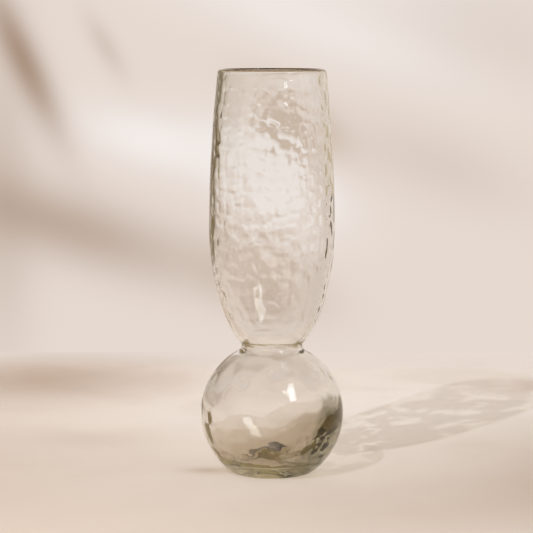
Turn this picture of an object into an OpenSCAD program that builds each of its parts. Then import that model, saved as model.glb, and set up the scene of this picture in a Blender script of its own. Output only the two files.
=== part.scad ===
// A tall forcing vase for one hyacinth bulb, mouth-blown from a single gather of glass.
// The globe holds the water, the drawn-in waist carries the bulb just above it, and the
// deep cup keeps the leaves upright. Sizes are millimetres. The origin is on the table,
// under the middle of the vase, and +Z is up.

/* [Whole vase] */
// Height from the table to the top of the lip
height = 250; // [215:1:290]

/* [Cup] */
// Outside diameter of the cup at its belly, the widest place
cup_d = 78; // [68:0.5:88]
// Height of the belly above the table
belly_height = 150; // [135:1:170]
// Outside diameter of the mouth at the lip
mouth_d = 67; // [56:0.5:67.5]
// Thickness of the cup's wall
cup_wall = 2.4; // [1.6:0.1:3.2]
// Thickness of the fire-polished lip
lip_thickness = 3.4; // [3.2:0.1:5]
// Depth of the band under the lip in which the wall thickens
lip_band = 9; // [5:0.5:15]

/* [Waist] */
// Radius of the hollow that the jacks leave round the outside of the waist
waist_hollow = 3.4; // [2.5:0.1:4.5]
// Outside diameter of the waist at its narrowest
waist_d = 38; // [34:0.5:44]
// Thickness of the wall at the waist's narrowest place
waist_wall = 3.2; // [2.6:0.1:4]

/* [Globe] */
// Outside diameter of the globe
globe_d = 89; // [80:0.5:98]
// Thickness of the globe's wall
globe_wall = 2.6; // [1.8:0.1:3.4]
// Radius of the thick corner between the globe's wall and its floor, inside
floor_corner = 12; // [8:0.5:16]

/* [Foot] */
// Outside diameter of the flat ring that stands on the table
foot_d = 48; // [42:0.5:56]
// Radius of the soft edge round the foot
foot_edge = 3; // [1.5:0.1:5]
// Thickness of the glass floor
floor_thickness = 8; // [6:0.1:11]
// Diameter of the hollow pushed up under the foot
push_d = 39; // [32:0.5:40]
// Height of that hollow at its middle
push_height = 7; // [4:0.1:10]

/* [Pontil mark] */
// Diameter of the wad of glass left by the iron that held the foot
pontil_d = 13; // [8:0.5:18]
// Thickness of that wad at its middle
pontil_thickness = 1.6; // [0.8:0.1:2.4]

/* [Hidden] */

// How finely the curves are drawn
arc_step = 6;
ellipse_steps = 18;
push_steps = 12;
pontil_steps = 6;
turn_segments = 96;

// Where on the lower ellipse its joins are searched for, and in how many halvings
search_from = -89;
search_to = -20;
search_rounds = 40;
throat_widest = 30;

glass_tint = [0.80, 0.83, 0.74];
pontil_tint = [0.70, 0.74, 0.62];

globe_r = globe_d / 2;
cup_r = cup_d / 2;
mouth_r = mouth_d / 2;
foot_r = foot_d / 2;
push_r = push_d / 2;
pontil_r = pontil_d / 2;
lip_r = lip_thickness / 2;

// Points on a circle about centre, from one angle to another
function arc(centre, r, from, to) =
    let (steps = max(2, ceil(abs(to - from) / arc_step)))
    [for (i = [0:steps]) centre + r * direction(from + (to - from) * i / steps)];

function direction(angle) = [cos(angle), sin(angle)];
function heading(v) = atan2(v[1], v[0]);
function smooth(x) = let (s = min(1, max(0, x))) s * s * (3 - 2 * s);
function reversed(points) = [for (i = [len(points) - 1:-1:0]) points[i]];

// The globe is a sphere that stands on the foot's rounded edge
foot_edge_centre = [foot_r, foot_edge];
globe_height = foot_edge + sqrt(pow(globe_r - foot_edge, 2) - pow(foot_r, 2));
globe_centre = [0, globe_height];

// The jacks' hollow rolls on the globe's shoulder, its deepest point at the waist
waist_centre_r = waist_d / 2 + waist_hollow;
waist_height = globe_height + sqrt(pow(globe_r + waist_hollow, 2) - pow(waist_centre_r, 2));
waist_centre = [waist_centre_r, waist_height];

// The cup's outline is two quarter ellipses that share the belly. The lower one touches
// the hollow at the waist, and the upper one ends on the lip
function ellipse_point(low, a) = [cup_r * cos(a), belly_height + low * sin(a)];
function ellipse_normal(low, a) = let (v = [low * cos(a), cup_r * sin(a)]) v / norm(v);

// The angle on the lower ellipse at which the way to a centre runs along the normal
function side_of(low, a, centre) =
    let (v = centre - ellipse_point(low, a), n = ellipse_normal(low, a))
    n[0] * v[1] - n[1] * v[0];
function foot_of(low, centre, from, to, rounds) =
    let (middle = (from + to) / 2)
    rounds == 0 ? middle
    : side_of(low, middle, centre) > 0 ? foot_of(low, centre, middle, to, rounds - 1)
    : foot_of(low, centre, from, middle, rounds - 1);
function waist_foot(low) = foot_of(low, waist_centre, search_from, search_to, search_rounds);

// How far the lower ellipse is from the hollow, and how deep it reaches where they touch
function hollow_gap(low) =
    let (a = waist_foot(low))
    (waist_centre - ellipse_point(low, a)) * ellipse_normal(low, a) - waist_hollow;
function fit_lower(shallow, deep, rounds) =
    let (middle = (shallow + deep) / 2)
    rounds == 0 ? middle
    : hollow_gap(middle) > 0 ? fit_lower(middle, deep, rounds - 1)
    : fit_lower(shallow, middle, rounds - 1);

lower_depth = fit_lower(
    belly_height - waist_height,
    belly_height - waist_height + cup_r,
    search_rounds
);
waist_join = waist_foot(lower_depth);

// The lip is a half round, which leans with the wall below it
lip_centre = [mouth_r - lip_r, height - lip_r];
function upper_rise(p) = (p[1] - belly_height) / sqrt(1 - pow(p[0] / cup_r, 2));
lip_guess = [mouth_r, lip_centre[1]];
lip_lean = heading(ellipse_normal(upper_rise(lip_guess), acos(lip_guess[0] / cup_r)));
lip_outer = lip_centre + lip_r * direction(lip_lean);
upper_depth = upper_rise(lip_outer);
lip_join = acos(lip_outer[0] / cup_r);

outer_lower = [for (i = [0:ellipse_steps])
    ellipse_point(lower_depth, waist_join * (1 - i / ellipse_steps))];
outer_upper = [for (i = [1:ellipse_steps])
    ellipse_point(upper_depth, lip_join * i / ellipse_steps)];

// Inside the cup, the wall's thickness is taken along the normal
function lip_share(z) = smooth(1 - (height - lip_r - z) / lip_band);
function cup_wall_at(z) = cup_wall + (lip_thickness - cup_wall) * lip_share(z);
function inner_point(low, a) =
    let (p = ellipse_point(low, a))
    p - cup_wall_at(p[1]) * ellipse_normal(low, a);

// The bore of the waist is a rounded throat, tangent to the cup's and the globe's insides
inner_globe_r = globe_r - globe_wall;
throat_bore_r = waist_d / 2 - waist_wall;
function throat_centre(a, r) =
    ellipse_point(lower_depth, a) + (r - cup_wall) * ellipse_normal(lower_depth, a);
function throat_angle(r, from, to, rounds) =
    let (middle = (from + to) / 2)
    rounds == 0 ? middle
    : norm(throat_centre(middle, r) - globe_centre) < inner_globe_r + r
        ? throat_angle(r, middle, to, rounds - 1)
    : throat_angle(r, from, middle, rounds - 1);
function throat_join_at(r) = throat_angle(r, search_from, search_to, search_rounds);
function bore_left(r) = throat_centre(throat_join_at(r), r)[0] - r;
function fit_throat(tight, wide, rounds) =
    let (middle = (tight + wide) / 2)
    rounds == 0 ? middle
    : bore_left(middle) < throat_bore_r ? fit_throat(middle, wide, rounds - 1)
    : fit_throat(tight, middle, rounds - 1);

throat_r = fit_throat(0, throat_widest, search_rounds);
throat_join = throat_join_at(throat_r);
throat = throat_centre(throat_join, throat_r);

inner_lower = [for (i = [0:ellipse_steps])
    inner_point(lower_depth, throat_join * (1 - i / ellipse_steps))];
inner_upper = [for (i = [1:ellipse_steps - 1])
    inner_point(upper_depth, lip_join * i / ellipse_steps)];

// The floor is level at its edge, and swells over the hollow pushed up from below
corner_r = sqrt(
    pow(inner_globe_r - floor_corner, 2)
    - pow(globe_height - floor_thickness - floor_corner, 2)
);
corner_centre = [corner_r, floor_thickness + floor_corner];
function swell(r, reach) = push_height * (1 + cos(180 * min(1, r / reach))) / 2;
function under_point(r) = [r, swell(r, push_r)];

under_pontil = [for (i = [0:pontil_steps]) under_point(pontil_r * i / pontil_steps)];
under_rest = [for (i = [1:push_steps])
    under_point(pontil_r + (push_r - pontil_r) * i / push_steps)];
floor_top = [for (i = [0:push_steps])
    let (r = corner_r * (1 - i / push_steps))
    [r, floor_thickness + swell(r, corner_r)]];

// The closed outline of the glass, from the middle of the foot, up the outside and back
// down the inside
vase_outline = concat(
    under_pontil,
    under_rest,
    arc(foot_edge_centre, foot_edge, -90, heading(foot_edge_centre - globe_centre)),
    arc(
        globe_centre, globe_r,
        heading(foot_edge_centre - globe_centre) + arc_step / 2,
        heading(waist_centre - globe_centre)
    ),
    arc(
        waist_centre, waist_hollow,
        heading(waist_centre - globe_centre) + 180 - arc_step,
        heading(ellipse_normal(lower_depth, waist_join)) + 180 + arc_step
    ),
    outer_lower,
    outer_upper,
    arc(lip_centre, lip_r, lip_lean + arc_step, lip_lean + 180),
    reversed(inner_upper),
    reversed(inner_lower),
    arc(
        throat, throat_r,
        heading(ellipse_normal(lower_depth, throat_join)) + 180 + arc_step,
        heading(throat - globe_centre) + 180 - arc_step
    ),
    arc(
        globe_centre, inner_globe_r,
        heading(throat - globe_centre),
        heading(corner_centre - globe_centre) + arc_step / 2
    ),
    arc(corner_centre, floor_corner, heading(corner_centre - globe_centre), -90),
    [for (i = [1:len(floor_top) - 1]) floor_top[i]]
);

// The whole vessel: foot, globe, waist, cup and lip are one skin of glass
module vase_glass() {
    color(glass_tint)
        rotate_extrude($fn = turn_segments)
            polygon(vase_outline);
}

// The wad left when the vase was knocked off the iron, fused under the pushed-up foot
module pontil_mark() {
    function wad_depth(r) = pontil_thickness * sqrt(1 - pow(r / pontil_r, 2));
    wad_under = [for (i = [1:pontil_steps])
        let (p = under_pontil[pontil_steps - i])
        p - [0, wad_depth(p[0])]];
    color(pontil_tint)
        rotate_extrude($fn = turn_segments)
            polygon(concat(under_pontil, wad_under));
}

vase_glass();
pontil_mark();
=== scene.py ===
import math
import random

import bmesh
import bpy
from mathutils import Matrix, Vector, kdtree, noise


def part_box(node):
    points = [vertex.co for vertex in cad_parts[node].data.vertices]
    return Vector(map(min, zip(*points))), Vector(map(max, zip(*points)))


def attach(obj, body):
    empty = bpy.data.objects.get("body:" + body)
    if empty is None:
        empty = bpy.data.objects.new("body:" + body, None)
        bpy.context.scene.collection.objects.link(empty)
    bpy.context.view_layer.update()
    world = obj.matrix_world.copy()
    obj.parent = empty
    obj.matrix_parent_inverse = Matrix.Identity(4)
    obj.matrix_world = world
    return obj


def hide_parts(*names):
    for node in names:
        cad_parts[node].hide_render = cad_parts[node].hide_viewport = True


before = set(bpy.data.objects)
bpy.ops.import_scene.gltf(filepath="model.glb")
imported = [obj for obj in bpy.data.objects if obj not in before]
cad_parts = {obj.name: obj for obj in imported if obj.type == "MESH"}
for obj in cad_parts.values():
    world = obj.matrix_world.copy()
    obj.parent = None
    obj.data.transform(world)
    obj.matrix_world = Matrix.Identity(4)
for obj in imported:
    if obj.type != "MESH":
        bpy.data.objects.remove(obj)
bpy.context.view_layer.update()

# The blown vessel
# One gather of recycled glass: globe, waist and cup are one skin, turned here as one outline
# from the foot up the outside and down the inside, then marked as blowing and tools left it.
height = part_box("vase_glass")[1].z
globe_r = 0.0445
globe_wall = 0.0026
waist_r = 0.019
waist_wall = 0.0032
waist_hollow = 0.0034
cup_r = 0.039
cup_wall = 0.0024
cup_gain = 0.0005
belly_z = 0.150
mouth_r = 0.0335
lip_thickness = 0.0034
lip_outer_r = 0.0026
lip_inner_r = 0.0008
lip_band = 0.030
foot_r = 0.024
foot_edge = 0.003
floor_thickness = 0.008
floor_corner = 0.012
push_r = 0.0195
push_height = 0.007
turn_steps = 220
quarter = math.pi / 2


def arc(centre, radius, start, end, count):
    turns = [start + (end - start) * i / count for i in range(count + 1)]
    return [(centre[0] + radius * math.cos(a), centre[1] + radius * math.sin(a)) for a in turns]


def heading(start, end):
    return math.atan2(end[1] - start[1], end[0] - start[0])


def smooth(value, start, end):
    share = min(1, max(0, (value - start) / (end - start)))
    return share * share * (3 - 2 * share)


def halved(low, high, is_low):
    """The value between two others from which a test no longer holds, found by halving."""
    for _ in range(40):
        middle = (low + high) / 2
        if is_low(middle):
            low = middle
        else:
            high = middle
    return low


def swell(r, reach):
    """The hollow pushed up under the foot, which the floor's top follows."""
    return push_height * (1 + math.cos(math.pi * min(1, r / reach))) / 2


# The globe stands on the foot's rounded edge, and the waist's hollow rolls on its shoulder
edge_centre = (foot_r, foot_edge)
globe_centre = (0, foot_edge + math.sqrt((globe_r - foot_edge) ** 2 - foot_r ** 2))
waist_x = waist_r + waist_hollow
waist_rise = math.sqrt((globe_r + waist_hollow) ** 2 - waist_x ** 2)
waist_centre = (waist_x, globe_centre[1] + waist_rise)


def normal_heading(reach, angle):
    return math.atan2(cup_r * math.sin(angle), reach * math.cos(angle))


def ellipse_point(reach, angle, inset):
    """A point of a quarter ellipse that starts at the belly, inset along the normal."""
    turn = normal_heading(reach, angle)
    return (
        cup_r * math.cos(angle) - inset * math.cos(turn),
        belly_z + reach * math.sin(angle) - inset * math.sin(turn),
    )


# Below its belly, the cup is a quarter ellipse that touches the waist's hollow
def waist_touch(depth):
    return halved(-quarter, 0, lambda a: ellipse_point(depth, a, -waist_hollow)[0] < waist_x)


def is_shallow(depth):
    return ellipse_point(depth, waist_touch(depth), -waist_hollow)[1] > waist_centre[1]


cup_depth = halved(0, belly_z, is_shallow)
waist_join = waist_touch(cup_depth)


# Above its belly, it is a quarter ellipse that ends on the lip, which leans with the wall
def rise_through(r, z):
    return (z - belly_z) / math.sqrt(1 - (r / cup_r) ** 2)


lip_r = lip_thickness / 2
lip_lean = normal_heading(rise_through(mouth_r, height - lip_r), math.acos(mouth_r / cup_r))
cup_rise = rise_through(
    mouth_r - lip_r * (1 - math.cos(lip_lean)), height - lip_r * (1 - math.sin(lip_lean))
)
lip_join = math.asin((height - belly_z - lip_outer_r * (1 - math.sin(lip_lean))) / cup_rise)
lip_x = cup_r * math.cos(lip_join) - lip_outer_r * math.cos(lip_lean)
lip_overlap = 0.0001
lip_inner_x = cup_r * math.cos(lip_join) - lip_thickness + lip_inner_r - lip_overlap


def cup_point(angle, inset):
    return ellipse_point(cup_rise if angle > 0 else cup_depth, angle, inset)


def cup_curve(start, end, count, inset):
    return [cup_point(start + (end - start) * i / count, inset) for i in range(count + 1)]


def inner_cup_point(angle):
    """A point on the cup's inside, whose wall thickens above the waist and under the lip."""
    z = cup_point(angle, 0)[1]
    wall = cup_wall + cup_gain * smooth(z, 0.086, 0.120)
    gain = smooth(z, height - lip_outer_r - lip_band, height - lip_outer_r)
    return cup_point(angle, wall + (lip_thickness - cup_wall - cup_gain) * gain)


# The bore of the waist is a rounded throat, tangent to the cup's and the globe's insides
inner_globe_r = globe_r - globe_wall
bore_r = waist_r - waist_wall
widest_throat = 0.010


def throat_touch(r):
    return halved(-quarter, 0, lambda a: ellipse_point(cup_depth, a, cup_wall - r)[0] < bore_r + r)


def throat_at(r):
    return ellipse_point(cup_depth, throat_touch(r), cup_wall - r)


throat_r = halved(
    0, widest_throat, lambda r: math.dist(throat_at(r), globe_centre) > inner_globe_r + r
)
throat_join = throat_touch(throat_r)
throat_centre = throat_at(throat_r)

# The globe's inside runs into the floor by a thick round corner
corner_z = floor_thickness + floor_corner
corner_r = math.sqrt((inner_globe_r - floor_corner) ** 2 - (globe_centre[1] - corner_z) ** 2)
corner_centre = (corner_r, corner_z)

outline = [(push_r * i / 12, swell(push_r * i / 12, push_r)) for i in range(13)]
outline += arc(edge_centre, foot_edge, -quarter, heading(globe_centre, edge_centre), 6)
outline += arc(
    globe_centre, globe_r,
    heading(globe_centre, edge_centre), heading(globe_centre, waist_centre), 54
)[1:]
outline += arc(
    waist_centre, waist_hollow,
    heading(waist_centre, globe_centre) + math.tau,
    math.pi + normal_heading(cup_depth, waist_join), 8
)[1:-1]
outline += cup_curve(waist_join, 0, 34, 0) + cup_curve(0, lip_join, 34, 0)[1:]
outline += arc((lip_x, height - lip_outer_r), lip_outer_r, lip_lean, quarter, 9)[1:]
outline += arc((lip_inner_x, height - lip_inner_r), lip_inner_r, quarter, math.pi, 5)
outline += [inner_cup_point(lip_join * (1 - i / 100)) for i in range(1, 101)]
outline += [inner_cup_point(throat_join * i / 66) for i in range(1, 67)]
outline += arc(
    throat_centre, throat_r,
    math.pi + normal_heading(cup_depth, throat_join),
    math.pi + heading(globe_centre, throat_centre), 10
)[1:-1]
outline += arc(
    globe_centre, inner_globe_r,
    heading(globe_centre, throat_centre), heading(globe_centre, corner_centre), 64
)
outline += arc(
    corner_centre, floor_corner, heading(globe_centre, corner_centre), -quarter, 9
)[1:]
for i in range(25, -1, -1):
    r = corner_r * i / 26
    outline.append((r, floor_thickness + swell(r, corner_r)))


def turned(points, steps):
    """A closed body of revolution from the outline of its half, which ends on the axis."""
    bm = bmesh.new()
    chain = [bm.verts.new((r, 0, z)) for r, z in points]
    edges = [bm.edges.new(pair) for pair in zip(chain, chain[1:])]
    bmesh.ops.spin(
        bm, geom=chain + edges, cent=(0, 0, 0), axis=(0, 0, 1),
        angle=math.tau, steps=steps, use_merge=True
    )
    bmesh.ops.remove_doubles(bm, verts=bm.verts, dist=1e-6)
    bmesh.ops.recalc_face_normals(bm, faces=bm.faces)
    bm.normal_update()
    return bm


def finished(bm, name):
    mesh = bpy.data.meshes.new(name)
    bm.to_mesh(mesh)
    bm.free()
    mesh.shade_smooth()
    piece = bpy.data.objects.new(name, mesh)
    bpy.context.collection.objects.link(piece)
    return piece


def waves(place, width, stretch=1.0, seed=0.0):
    at = Vector((place.x / width, place.y / width, place.z / width / stretch + seed))
    return noise.noise(at, noise_basis="PERLIN_ORIGINAL")


# Hammer marks: shallow tilted dents inside the cup, in uneven staggered columns
mark_columns = 32
mark_pitch = 0.0074
mark_reach = 0.0042
mark_depth = 0.00010
mark_tilt = 0.050
mark_low, mark_high = 0.090, 0.250
mark_squash = 0.86
ridge_softness = 1.6e-6
rng = random.Random(4)
marks = []
for column in range(mark_columns):
    angle = math.tau * (column + rng.uniform(-0.16, 0.16)) / mark_columns
    z = mark_low + mark_pitch * rng.random()
    while z < mark_high:
        reach = cup_rise if z > belly_z else cup_depth
        r = cup_point(math.asin((z - belly_z) / reach), cup_wall)[0]
        turn = angle + rng.uniform(-0.1, 0.1) * math.tau / mark_columns
        tilt = Vector((rng.uniform(-1, 1), rng.uniform(-1, 1), rng.uniform(-1, 1))) * mark_tilt
        middle = Vector((r * math.cos(turn), r * math.sin(turn), z))
        marks.append((middle, rng.uniform(-2e-6, 3e-6), tilt))
        z += mark_pitch * rng.uniform(0.75, 1.3)
mark_tree = kdtree.KDTree(len(marks))
for i, (middle, _, _) in enumerate(marks):
    mark_tree.insert((middle.x, middle.y, middle.z * mark_squash), i)
mark_tree.balance()


def mark_dent(place):
    """How deep the hammer marks are here: each is a dent with a tilt of its own."""
    near = mark_tree.find_n((place.x, place.y, place.z * mark_squash), 6)
    weights = [math.exp(-(far * far - marks[i][1]) / ridge_softness) for _, i, far in near]
    total = sum(weights)
    hollow = max(0, 1 + ridge_softness * math.log(total) / mark_reach ** 2)
    tilts = [w * marks[i][2].dot(place - marks[i][0]) for w, (_, i, _) in zip(weights, near)]
    return mark_depth * hollow + sum(tilts) / total


# Low inside the cup's back, one flatter place stands a little proud
flat_azimuth, flat_z = math.radians(109), 0.101
flat_rise, flat_half_width, flat_half_height = 0.0007, 0.006, 0.009


def cup_swelling(place):
    z = place.z
    strength = 0.55 + 0.45 * smooth(z, 0.112, 0.135)
    strength *= smooth(z, 0.088, 0.100) * (1 - 0.6 * smooth(z, 0.236, 0.248))
    fine = 0.00003 * waves(place, 0.005, 2.0) * smooth(z, 0.09, 0.10)
    slow = 0.00035 * waves(place, 0.020, 1.6, 7.0) * smooth(z, 0.09, 0.11)
    below_lip = 1 - smooth(z, 0.215, 0.246)
    turn = math.remainder(math.atan2(place.y, place.x) - flat_azimuth, math.tau)
    off = math.hypot(place.x, place.y) * turn / flat_half_width
    above = (z - flat_z) / flat_half_height
    flat = flat_rise * math.exp(-(off ** 2 + above ** 2) / 2)
    return flat - strength * mark_dent(place) - (fine + slow) * below_lip


# The gather sagged to one side, so the globe's wall is thick and rippled low down there
thick_side = math.radians(-20)
thick_gain = 0.0055
inside_low = 0.0078


def globe_swelling(place):
    z = place.z
    side = max(0, math.cos(math.atan2(place.y, place.x) - thick_side))
    thick = thick_gain * side ** 2
    thick *= (1 - smooth(z, 0.014, 0.049)) * smooth(z, inside_low, 0.016)
    ripple = 0.00048 * waves(place, 0.0055, 0.7, 11.0) + 0.00014 * waves(place, 0.0028, 0.7, 13.0)
    ripple *= (0.5 + 0.5 * side) * (1 - smooth(z, 0.020, 0.045))
    slow = 0.0006 * waves(place, 0.020) + 0.00030 * waves(place, 0.0085)
    slow *= (1 - smooth(z, 0.066, 0.078)) * smooth(z, inside_low, 0.014)
    return thick + ripple - slow


def floor_swelling(place):
    return 0.00022 * waves(place, 0.0045, 1.0, 21.0) + 0.00012 * waves(place, 0.0025, 1.0, 23.0)


def outside_settling(place):
    z = place.z
    settle = 0.00012 * (1 + waves(place, 0.016, 1.6, 3.0))
    settle += 0.00006 * (1 + waves(place, 0.0055, 1.2, 5.0))
    return settle * smooth(z, 0.004, 0.012) * (1 - smooth(z, 0.240, 0.247))


cup_from = 0.086
floor_to = 0.030
foot_to = 0.004
level_normal = 0.6
bm = turned(outline, turn_steps)
for v in bm.verts:
    place, normal = v.co.copy(), v.normal.copy()
    outward = normal.x * place.x + normal.y * place.y
    if outward < 0 and place.z > cup_from:
        v.co += normal * cup_swelling(place)
    elif outward < 0 and place.z > inside_low:
        v.co += normal * globe_swelling(place)
    if normal.z > level_normal and inside_low < place.z < floor_to:
        v.co += normal * floor_swelling(place)
    elif outward > 0 and place.z > foot_to:
        v.co -= normal * outside_settling(place)
    v.co.z = min(v.co.z, height)
bm.normal_update()
vase = finished(bm, "blown_vase")


class Socket:
    """A shader socket on which Python's operators add Math nodes."""

    def __init__(self, tree, link):
        self.tree, self.link = tree, link

    def math(self, operation, other=0.0):
        return node(self.tree, "ShaderNodeMath", {"operation": operation}, {0: self, 1: other})

    def maximum(self, other):
        return self.math("MAXIMUM", other)

    def __add__(self, other):
        return self.math("ADD", other)

    def __sub__(self, other):
        return self.math("SUBTRACT", other)

    def __mul__(self, other):
        return self.math("MULTIPLY", other)

    def __rsub__(self, other):
        return (self * -1) + other

    __radd__, __rmul__ = __add__, __mul__


def node(tree, kind, settings, values, output=0):
    """Adds one node, its settings first, then the values or links of its sockets."""
    made = tree.nodes.new(kind)
    for name, value in settings.items():
        setattr(made, name, value)
    for name, value in values.items():
        if isinstance(value, Socket):
            tree.links.new(value.link, made.inputs[name])
        else:
            made.inputs[name].default_value = value
    if isinstance(output, tuple):
        return [Socket(tree, made.outputs[name]) for name in output]
    return Socket(tree, made.outputs[output]) if made.outputs else None


def new_material(name):
    material = bpy.data.materials.new(name)
    material.use_nodes = True
    material.node_tree.nodes.clear()
    return material, material.node_tree


def coordinates(tree, kind):
    """The coordinates of this kind, whole and as their three parts."""
    place = node(tree, "ShaderNodeTexCoord", {}, {}, kind)
    return [place] + node(tree, "ShaderNodeSeparateXYZ", {}, {0: place}, ("X", "Y", "Z"))


def colour(red, green, blue):
    """An sRGB colour, 0 to 255, as the linear colour that Blender's sockets hold."""
    def linear(c):
        c /= 255
        return c / 12.92 if c <= 0.04045 else ((c + 0.055) / 1.055) ** 2.4
    return (linear(red), linear(green), linear(blue), 1)


def blend(share, first, second):
    return node(
        share.tree, "ShaderNodeMix", {"data_type": "RGBA"}, {"Factor": share, 6: first, 7: second}, 2
    )


def ramp(value, start, end):
    """0 up to start and 1 from end on, with a soft way between; end may be the smaller one."""
    return node(
        value.tree, "ShaderNodeMapRange", {"interpolation_type": "SMOOTHSTEP"},
        {"Value": value, "From Min": start, "From Max": end}, "Result"
    )


def see_through(tree, tint):
    return node(tree, "ShaderNodeBsdfTransparent", {}, {"Color": (*tint, 1)})


low_lamp_place = (-0.385, -0.635, 0.776)
rim_low, rim_high = height - 0.0015, height - 0.0006
most_bounces = 4.5


def glass_material(name, roughness, ripple, tint, low_tint_and_painted_shadow, thick_tint, rim_painted_shade, depth_tint, density):
    """Clear glass, tinted by its thickness, low down, in its thick side and along its lip; low down the
    tint is partly a painted shadow, and along the lip it is painted shade.
    """
    material, tree = new_material(name)
    place, east, north, up = coordinates(tree, "Object")
    fine = node(
        tree, "ShaderNodeTexNoise", {},
        {"Vector": place, "Scale": 190.0, "Detail": 2.0, "Roughness": 0.5}, "Fac"
    )
    bump = node(
        tree, "ShaderNodeBump", {},
        {"Height": fine, "Strength": ripple, "Distance": 0.001}
    )
    film = node(
        tree, "ShaderNodeTexNoise", {},
        {"Vector": place, "Scale": 40.0, "Detail": 3.0, "Roughness": 0.6}, "Fac"
    )
    along = node(tree, "ShaderNodeLayerWeight", {}, {"Blend": 0.5}, "Facing")
    side = east * math.cos(thick_side) + north * math.sin(thick_side)
    level = up - side * 0.20 + film * 0.022
    # Low down the tint deepens as the glass thickens, and its crisp rising edge is a painted shadow:
    # the table's shade seen through the globe.
    low = ramp(level, 0.046, 0.0452) * 0.55 + ramp(level, 0.045, 0.028) * 0.45
    thick = ramp(side, 0.012, 0.028) * ramp(up, 0.047, 0.041) * ramp(along + film * 0.2, 0.34, 0.50)
    shown = blend(low, (*tint, 1), (*low_tint_and_painted_shadow, 1))
    shown = blend(thick, shown, (*thick_tint, 1))
    # Painted shade: a dark line painted along the top of the lip.
    shown = blend(ramp(up, rim_low, rim_high), shown, (*rim_painted_shade, 1))
    body = node(
        tree, "ShaderNodeBsdfPrincipled", {},
        {
            "Base Color": shown, "Roughness": film * roughness, "IOR": 1.5,
            "Transmission Weight": 1.0, "Normal": bump,
        }
    )

    # Lamps shine through, and the wall gathers their light into patches as seen from the lamp
    from_lamp = node(
        tree, "ShaderNodeVectorMath", {"operation": "SUBTRACT"}, {0: place, 1: low_lamp_place}, "Vector"
    )
    lamp_way = node(tree, "ShaderNodeVectorMath", {"operation": "NORMALIZE"}, {0: from_lamp}, "Vector")
    patches = node(
        tree, "ShaderNodeTexNoise", {},
        {"Vector": lamp_way, "Scale": 78.0, "Detail": 1.0, "Distortion": 0.6}, "Fac"
    )
    shaded = ramp(up, 0.06, 0.10) * 0.12 + ramp(up, 0.15, 0.24) * 0.08 + 0.12
    shaded = ramp(patches, 0.59, 0.52) * shaded + ramp(along, 0.5, 1.0) * 0.03
    bright, dim = see_through(tree, (1, 1, 1)), see_through(tree, (0.46, 0.38, 0.30))
    clear = node(tree, "ShaderNodeMixShader", {}, {0: shaded, 1: bright, 2: dim})
    shadow, bounced, depth = node(
        tree, "ShaderNodeLightPath", {}, {}, ("Is Shadow Ray", "Is Diffuse Ray", "Ray Depth")
    )

    # Rays that stay caught in the wall meet a murky tint, and a bounce sooner high in the cup
    trapped = (depth + ramp(up, 0.165, 0.180)).math("GREATER_THAN", most_bounces)
    murky = see_through(tree, (0.66, 0.61, 0.46))
    surface = node(tree, "ShaderNodeMixShader", {}, {0: trapped, 1: body, 2: murky})
    surface = node(
        tree, "ShaderNodeMixShader", {}, {0: shadow.maximum(bounced), 1: surface, 2: clear}
    )
    inside = node(
        tree, "ShaderNodeVolumeAbsorption", {}, {"Color": (*depth_tint, 1), "Density": density}
    )
    node(tree, "ShaderNodeOutputMaterial", {}, {"Surface": surface, "Volume": inside})
    return material


blown_glass = glass_material(
    "blown_glass", roughness=0.02, ripple=0.015, tint=(0.990, 0.983, 0.984),
    low_tint_and_painted_shadow=(0.805, 0.750, 0.670), thick_tint=(0.26, 0.25, 0.17),
    rim_painted_shade=(0.17, 0.105, 0.045), depth_tint=(0.71, 0.69, 0.44), density=23.0
)
vase.data.materials.append(blown_glass)
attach(vase, "root")
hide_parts("vase_glass")

# The pontil mark
# A wad of a second gather, where the iron held the foot while the lip was worked. It was
# knocked off cold, so its underside is a rough star of broken glass.
pontil_r = 0.0064
pontil_thickness = 0.0015
pontil_gap = 0.00006
pontil_rings = 10
star_points = 5
star_depth = 0.55
star_ramp = 0.004
seam = 1e-5


def wad_top(r):
    return swell(r, push_r) - pontil_gap


rings = [i / pontil_rings for i in range(pontil_rings + 1)]
wad = [(pontil_r * share, wad_top(pontil_r * share)) for share in rings]
wad += [
    (pontil_r * share, wad_top(pontil_r * share) - pontil_thickness * math.sqrt(1 - share ** 2))
    for share in reversed(rings[:-1])
]
bm = turned(wad, 60)
for v in bm.verts:
    r = math.hypot(v.co.x, v.co.y)
    depth = wad_top(r) - v.co.z
    if depth > seam:
        turn = math.atan2(v.co.y, v.co.x)
        star = 0.5 + 0.5 * math.cos(star_points * turn + 2.0 * waves(v.co, 0.004, 1.0, 5.0))
        v.co.z += depth * star_depth * star * smooth(r, 0, star_ramp)
        v.co.z += 0.5 * depth * waves(v.co, 0.0016, 1.0, 9.0)
bm.normal_update()
pontil = finished(bm, "pontil_scar")
pontil_glass = glass_material(
    "pontil_glass", roughness=0.4, ripple=0.5, tint=(0.72, 0.72, 0.50),
    low_tint_and_painted_shadow=(0.66, 0.66, 0.44), thick_tint=(0.66, 0.66, 0.44),
    rim_painted_shade=(0.72, 0.72, 0.50), depth_tint=(0.55, 0.6, 0.35), density=200.0
)
pontil.data.materials.append(pontil_glass)
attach(pontil, "root")
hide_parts("pontil_mark")

# The table
# A pale plaster surface with painted soft shadows on it, which blends into the pale distance all round.
# Each painted shadow has its middle, its slant in degrees, its reach along and across, and its
# strength.
table_r = 1.6
painted_shadows = [
    ((-0.18, 0.34), 0, (0.10, 0.11), 0.60),
    ((-0.12, 0.10), 0, (0.05, 0.03), 0.15),
    ((-0.30, 0.00), 45, (0.40, 0.20), 0.50),
    ((0.40, 0.05), -30, (0.40, 0.10), 0.80),
    ((0.25, 0.08), 0, (0.20, 0.12), 0.30),
    ((-0.04, 0.00), 0, (0.015, 0.01), 0.50),
    ((0.20, 0.31), 0, (0.045, 0.035), 0.25),
]
shaded_near_plaster, lit_far_plaster = colour(232, 223, 216), colour(252, 244, 238)
mottled_plaster = colour(202, 182, 165)
shaded_plaster = colour(172, 142, 116)
pale_distance = colour(231, 218, 209)


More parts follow.
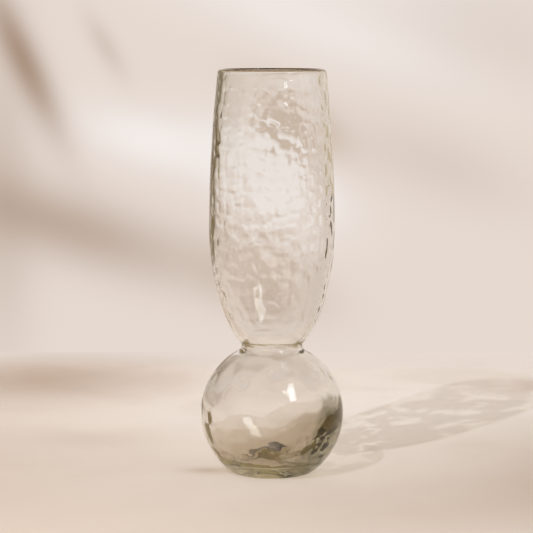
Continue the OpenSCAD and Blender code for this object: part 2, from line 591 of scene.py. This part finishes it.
def streak(across, up, middle, slant, reach, strength):
    """A soft streak that slants down to the right by this many degrees."""
    turn = math.radians(slant)
    x, z = across - middle[0], up - middle[1]
    along = (x * math.cos(turn) - z * math.sin(turn)) * (1 / reach[0])
    off = (x * math.sin(turn) + z * math.cos(turn)) * (1 / reach[1])
    return (along * along * -1 - off * off).math("EXPONENT") * strength


bm = bmesh.new()
bmesh.ops.create_circle(bm, cap_ends=True, segments=128, radius=table_r)
table = finished(bm, "table")
material, tree = new_material("pale_plaster")
place, across, back, _ = coordinates(tree, "Object")
mottle = node(
    tree, "ShaderNodeTexNoise", {},
    {"Vector": place, "Scale": 9.0, "Detail": 4.0, "Roughness": 0.5, "Distortion": 0.8}, "Fac"
)
# Painted light: the plaster is painted darker in front and lighter towards the back.
plaster = blend(ramp(back, -0.10, 0.28), shaded_near_plaster, lit_far_plaster)
plaster = blend(ramp(mottle, 0.40, 0.65) * 0.12, plaster, mottled_plaster)
distance = pale_distance
# The painted shadows darken the plaster and the pale distance beyond it.
for shade in painted_shadows:
    share = streak(across, back, *shade)
    plaster = blend(share, plaster, shaded_plaster)
    distance = blend(share, distance, shaded_plaster)
body = node(
    tree, "ShaderNodeBsdfPrincipled", {},
    {"Base Color": plaster, "Roughness": 0.7, "Specular IOR Level": 0.2}
)
far = node(tree, "ShaderNodeVectorMath", {"operation": "LENGTH"}, {0: place}, "Value")
fade = ramp(far, 0.45, 0.80).maximum(ramp(back, 0.37, 0.48))
pale = node(tree, "ShaderNodeEmission", {}, {"Color": distance, "Strength": 1.0})
surface = node(tree, "ShaderNodeMixShader", {}, {0: fade, 1: body, 2: pale})
node(tree, "ShaderNodeOutputMaterial", {}, {"Surface": surface})
table.data.materials.append(material)

# The backdrop
# A pale wall with painted soft slanting bands of light and shade, laid out as the table's painted
# shadows are, which the hammered glass breaks up. It fades out at its edges and can't be seen from
# behind.
wall_y = 0.4855
wall_half_width = 1.30
wall_low, wall_top = -0.60, 1.00
wall_pale, wall_dark = colour(230, 217, 208), colour(110, 94, 66)
light, shade, soft_shade = colour(244, 238, 235), colour(172, 148, 130), colour(207, 189, 174)
bands = [
    ((-0.10, 0.18), 15, (0.07, 0.025), 0.9, light),
    ((0.00, 0.15), 30, (0.06, 0.03), 1.6, light),
    ((0.03, 0.28), 20, (0.15, 0.03), 0.6, light),
    ((0.00, 0.35), 20, (0.35, 0.04), 0.5, light),
    ((0.02, 0.20), 35, (0.045, 0.02), 1.4, soft_shade),
    ((-0.01, 0.06), 20, (0.055, 0.025), 1.0, soft_shade),
    ((-0.18, 0.11), 18, (0.13, 0.03), 0.7, shade),
    ((-0.21, 0.25), 65, (0.07, 0.015), 1.0, shade),
    ((-0.23, 0.14), 90, (0.14, 0.03), 0.4, shade),
    ((-0.14, 0.26), 60, (0.03, 0.01), 0.3, shade),
    ((0.14, 0.16), 20, (0.09, 0.03), 0.2, shade),
    ((0.20, 0.27), 20, (0.10, 0.04), 0.2, shade),
]


def seen_rays(tree):
    """Rays from the camera, and these together with mirrored rays and rays through glass."""
    camera_ray, mirrored, through = node(
        tree, "ShaderNodeLightPath", {}, {},
        ("Is Camera Ray", "Is Glossy Ray", "Is Transmission Ray")
    )
    return camera_ray, camera_ray.maximum(mirrored).maximum(through)


bm = bmesh.new()
sides = [(-wall_half_width, wall_low), (wall_half_width, wall_low)]
sides += [(wall_half_width, wall_top), (-wall_half_width, wall_top)]
bm.faces.new([bm.verts.new((x, wall_y, z)) for x, z in sides])
wall = finished(bm, "backdrop")
material, tree = new_material("banded_wall")
_, across, _, up = coordinates(tree, "Object")
camera_ray, direct = seen_rays(tree)
shown = wall_pale
for *place_and_reach, tone in bands:
    shown = blend(streak(across, up, *place_and_reach), shown, tone)
# Painted shade: for rays through or off the glass, the wall's left part is darker.
side_shade = ramp(across, -0.17, -0.34) * ramp(up, 0.00, 0.05) * 0.85
shown = blend(side_shade * (1 - camera_ray), shown, wall_dark)
seen = node(tree, "ShaderNodeEmission", {}, {"Color": shown, "Strength": 1.0})
plain = node(tree, "ShaderNodeBsdfDiffuse", {}, {"Color": wall_pale})
surface = node(tree, "ShaderNodeMixShader", {}, {0: direct, 1: plain, 2: seen})
behind = node(tree, "ShaderNodeNewGeometry", {}, {}, "Backfacing")
edge = ramp(across.math("ABSOLUTE"), 0.5, 1.2).maximum(ramp(up, 0.4, 0.9))
edge = edge.maximum(ramp(up, -0.2, -0.5)).maximum(behind)
surface = node(
    tree, "ShaderNodeMixShader", {}, {0: edge, 1: surface, 2: see_through(tree, (1, 1, 1))}
)
node(tree, "ShaderNodeOutputMaterial", {}, {"Surface": surface})
wall.data.materials.append(material)

# The room
# Pale all round, and dimmer overhead and at the left, which draws dark lines along the edges
# of the glass.
room_pale, room_dim = colour(230, 217, 208), colour(112, 97, 72)
world = bpy.data.worlds.new("pale_room")
bpy.context.scene.world = world
world.use_nodes = True
tree = world.node_tree
tree.nodes.clear()
_, east, north, up = coordinates(tree, "Generated")
camera_ray, direct = seen_rays(tree)
overhead = ramp(up, 0.25, 0.55)
left = ramp(east * -0.85 + north * 0.35 + up * 0.39, 0.50, 0.80) * ramp(up, -0.02, 0.05)
room = blend(overhead.maximum(left) * (1 - camera_ray), room_pale, room_dim)
shown = node(tree, "ShaderNodeBackground", {}, {"Color": room, "Strength": 1.0})
lighting = node(
    tree, "ShaderNodeBackground", {}, {"Color": (1, 0.99, 0.97, 1), "Strength": 0.50}
)
surface = node(tree, "ShaderNodeMixShader", {}, {0: direct, 1: lighting, 2: shown})
node(tree, "ShaderNodeOutputWorld", {}, {"Surface": surface})

# The lamps
# A tall window to the right of the camera, which the glass mirrors, and a small near lamp on
# the left, which throws the long shadow.
window_azimuth, window_elevation = math.radians(40), math.radians(32)
window_distance = 1.6
towards = Vector((
    math.sin(window_azimuth) * math.cos(window_elevation),
    -math.cos(window_azimuth) * math.cos(window_elevation),
    math.sin(window_elevation),
))


def lamp(name, kind, place, aim, **settings):
    data = bpy.data.lights.new(name, kind)
    for key, value in settings.items():
        setattr(data, key, value)
    made = bpy.data.objects.new(name, data)
    made.location = place
    made.rotation_euler = (aim - place).to_track_quat("-Z", "Y").to_euler()
    bpy.context.collection.objects.link(made)
    return made


middle = Vector((0, 0, height / 2))
window_size = (0.30, 0.56)
window_radiance = 6.5
lamp(
    "window", "AREA", middle + towards * window_distance, middle, shape="RECTANGLE",
    size=window_size[0], size_y=window_size[1], color=(0.84, 0.94, 1.0),
    energy=window_radiance * math.pi * window_size[0] * window_size[1],
)
lamp(
    "low_lamp", "POINT", Vector(low_lamp_place), middle,
    energy=28.0, shadow_soft_size=0.006, color=(1.0, 0.96, 0.9),
)

# The camera
# It stands where the photograph was taken from, a little above the lip.
camera_place = Vector((0, -1.300, 0.275))
camera_aim = Vector((-0.0034, 0, 0.1283))
camera = bpy.data.objects.new("camera", bpy.data.cameras.new("camera"))
camera.data.sensor_width = 36
camera.data.lens = 142.85
camera.location = camera_place
camera.rotation_euler = (camera_aim - camera_place).to_track_quat("-Z", "Y").to_euler()
bpy.context.collection.objects.link(camera)
bpy.context.scene.camera = camera
bpy.context.scene.view_settings.view_transform = "Standard"
